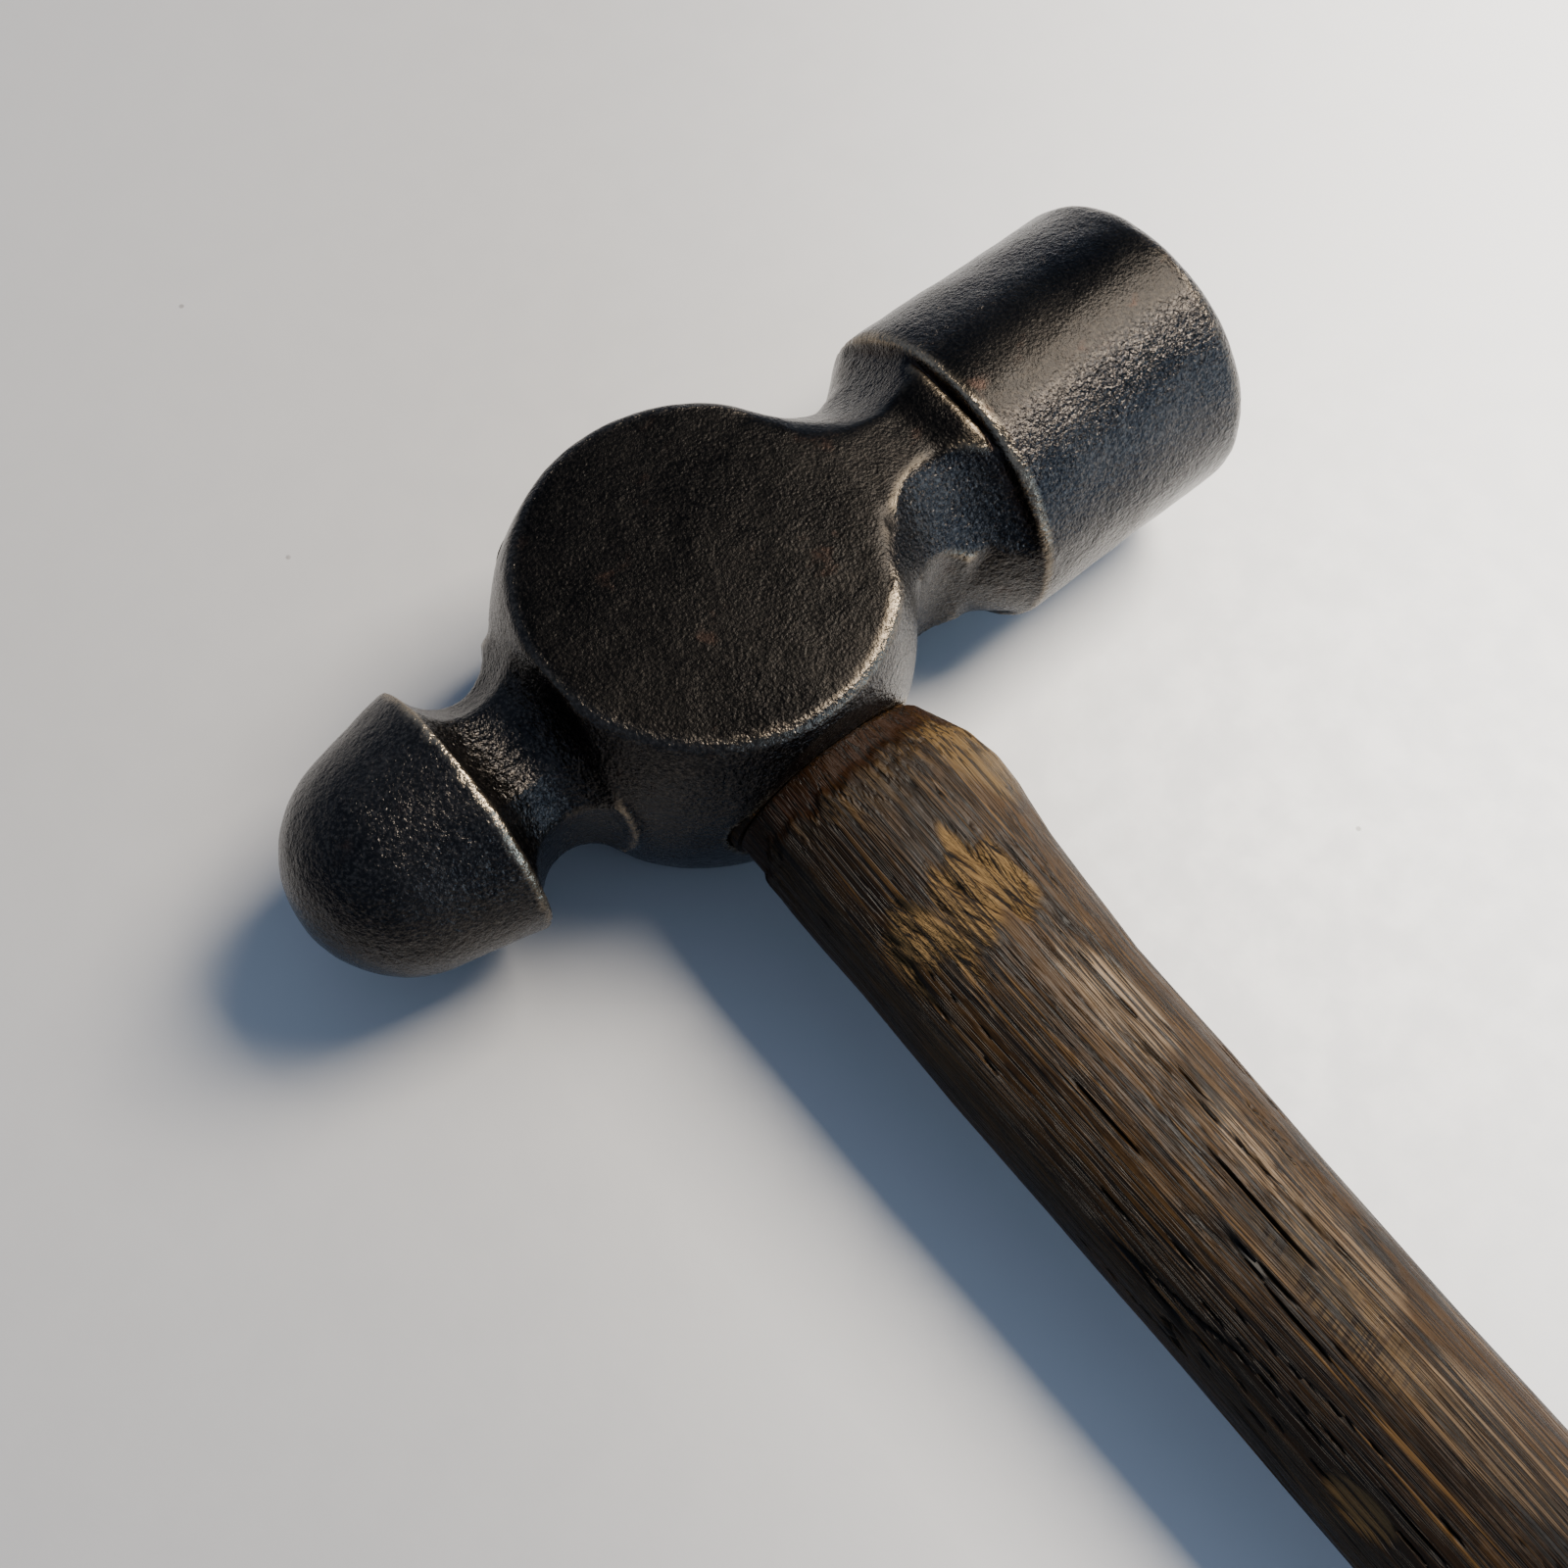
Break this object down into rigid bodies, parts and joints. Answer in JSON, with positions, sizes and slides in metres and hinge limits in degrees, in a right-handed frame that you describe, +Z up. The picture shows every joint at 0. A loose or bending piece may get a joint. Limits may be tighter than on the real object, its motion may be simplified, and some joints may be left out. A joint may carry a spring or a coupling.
{
  "type": "ball-pein hammer",
  "caption": "Forged ball-pein hammer for smithing: round striking face, crisp-rimmed ball, round cheeks and an oval wooden handle wedged into the eye.",
  "frame": {"origin": "middle of the outline at the level of the surface the hammer lies on", "axes": "+X towards the striking face, -Y along the handle to its butt, +Z up out of the upper cheek; the hammer lies on one cheek as it rests on a table, so the head leans about one degree off these axes"},
  "size_m": [0.1278, 0.4011, 0.0409],
  "materials": {
    "forged_steel": "old forged steel, dark oxide, fine pitting",
    "handle_wood": "weathered dark brown hardwood, open grain",
    "wedge_wood": "dry hardwood end grain",
    "wedge_steel": "rusty mild steel"
  },
  "bodies": {
    "root": {"head": "forged_steel", "handle": "handle_wood", "wood_wedge": "wedge_wood", "steel_wedge_face": "wedge_steel", "steel_wedge_ball": "wedge_steel"}
  },
  "joints": []
}
